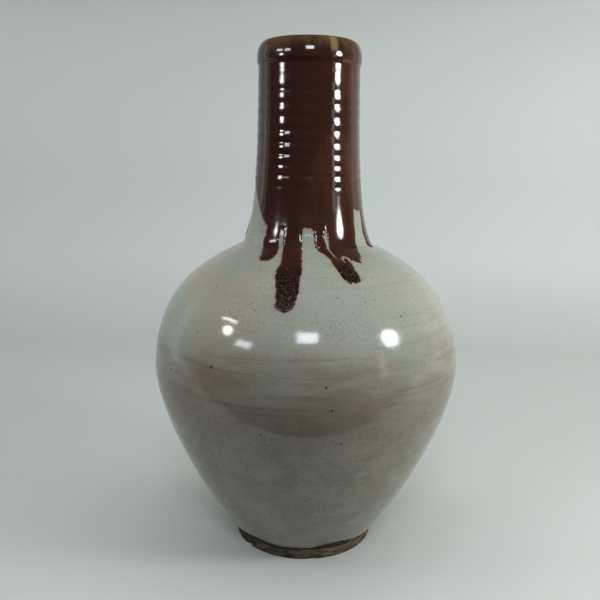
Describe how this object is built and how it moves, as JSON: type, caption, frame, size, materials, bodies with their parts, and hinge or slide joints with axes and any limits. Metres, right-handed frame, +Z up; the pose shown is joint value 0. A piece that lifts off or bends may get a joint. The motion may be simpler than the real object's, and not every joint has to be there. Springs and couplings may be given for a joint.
{
  "type": "sake bottle",
  "caption": "Large hand-thrown stoneware sake bottle, full belly on a small bare foot, tall neck with a rolled mouth, pale ash glaze with an iron-brown glaze running down over the shoulder.",
  "frame": {"origin": "middle of the foot, on the surface that the bottle stands on", "axes": "+Z up along the throwing axis, -Y towards the front, the side with the longest glaze run, +X to the right seen from the front"},
  "size_m": [0.2256, 0.2256, 0.37],
  "materials": {
    "foot_clay": "bare fired clay, matt, iron-brown, worn and chipped",
    "body_clay": "fired stoneware under the glaze",
    "ash_glaze": "glossy pale grey-beige ash glaze with iron specks",
    "iron_glaze": "glossy iron-brown glaze with rust-red streaks, pitted at the ends of its runs",
    "liner_glaze": "glossy thin glaze inside"
  },
  "bodies": {
    "root": {"base_disc": "foot_clay", "foot_ring": "foot_clay", "lower_body": "body_clay", "upper_body": "body_clay", "neck": "body_clay", "mouth_roll": "body_clay", "body_glaze": "ash_glaze", "neck_glaze": "iron_glaze", "liner_glaze": "liner_glaze", "glaze_run_left": "iron_glaze", "glaze_run_long": "iron_glaze", "glaze_run_hooked": "iron_glaze", "glaze_run_right": "iron_glaze", "glaze_run_edge": "iron_glaze", "glaze_runs_back": "iron_glaze"}
  },
  "joints": []
}
